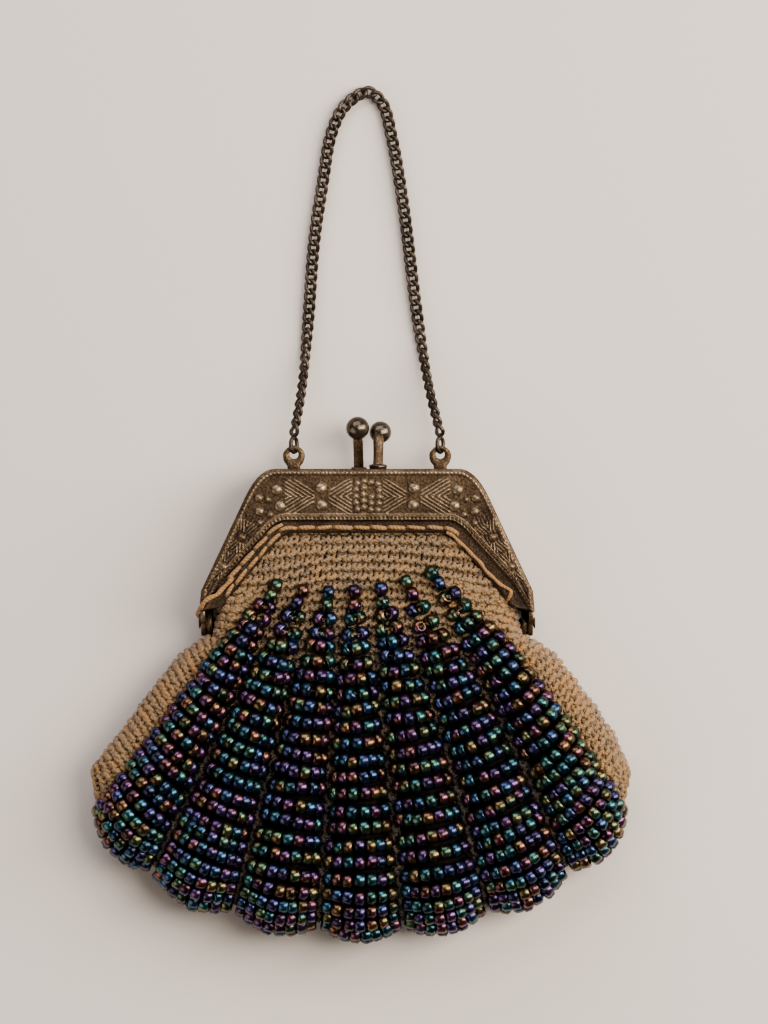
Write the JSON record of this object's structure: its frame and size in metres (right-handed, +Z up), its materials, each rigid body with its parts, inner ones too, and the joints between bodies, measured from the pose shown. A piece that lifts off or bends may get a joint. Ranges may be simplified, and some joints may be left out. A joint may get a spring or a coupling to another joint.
{
  "type": "beaded frame purse",
  "caption": "Small knitted purse with fanned bead swags on a hinged brass frame with a ball clasp and chain handle, lying on its back.",
  "frame": {"origin": "on the table under the middle of the purse's bounding box", "axes": "+X to the right across the purse, +Y from the hem up to the chain, +Z up from the table through the front"},
  "size_m": [0.0816, 0.1324, 0.0146],
  "materials": {
    "antique_brass": "stamped sheet, browned and worn on the high points",
    "chain_brass": "drawn wire, browned",
    "cotton_knit": "garter stitch in matt tan cotton",
    "iris_glass": "opaque dark glass with a metallic iris coat"
  },
  "bodies": {
    "root": {"frame_front": "antique_brass", "frame_back": "antique_brass", "hinge_rivet_left": "antique_brass", "hinge_rivet_right": "antique_brass", "chain": "chain_brass", "chain_end_link_left": "chain_brass", "chain_end_link_right": "chain_brass", "knit_bag": "cotton_knit", "bead_flute_front_1": "iris_glass", "bead_flute_front_2": "iris_glass", "bead_flute_front_3": "iris_glass", "bead_flute_front_4": "iris_glass", "bead_flute_front_5": "iris_glass", "bead_flute_front_6": "iris_glass", "bead_flute_front_7": "iris_glass", "bead_flute_back_1": "iris_glass", "bead_flute_back_2": "iris_glass", "bead_flute_back_3": "iris_glass", "bead_flute_back_4": "iris_glass", "bead_flute_back_5": "iris_glass", "bead_flute_back_6": "iris_glass", "bead_flute_back_7": "iris_glass"}
  },
  "joints": []
}
